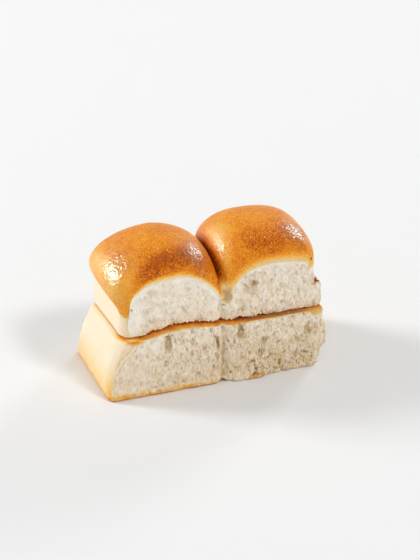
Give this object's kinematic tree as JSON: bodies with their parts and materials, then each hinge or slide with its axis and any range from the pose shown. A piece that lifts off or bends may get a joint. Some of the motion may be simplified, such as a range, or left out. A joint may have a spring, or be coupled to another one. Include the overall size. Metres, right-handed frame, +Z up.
{
  "type": "pav bun",
  "caption": "Pair of soft bread buns grown together, with browned domes, torn crumb sides and a pale left wall, split flat into a top and a bottom half.",
  "frame": {"origin": "middle of the underside, on the surface the bread rests on", "axes": "+Z up, +X to the right along the pair of buns, -Y towards the torn side that the picture shows"},
  "size_m": [0.1545, 0.0786, 0.1009],
  "materials": {
    "crumb": "soft, matte, open-celled crumb of baked bread",
    "crust": "browned, brushed and softly shining crust"
  },
  "bodies": {
    "root": {"bottom_half": "crumb", "top_half": "crust"}
  },
  "joints": []
}
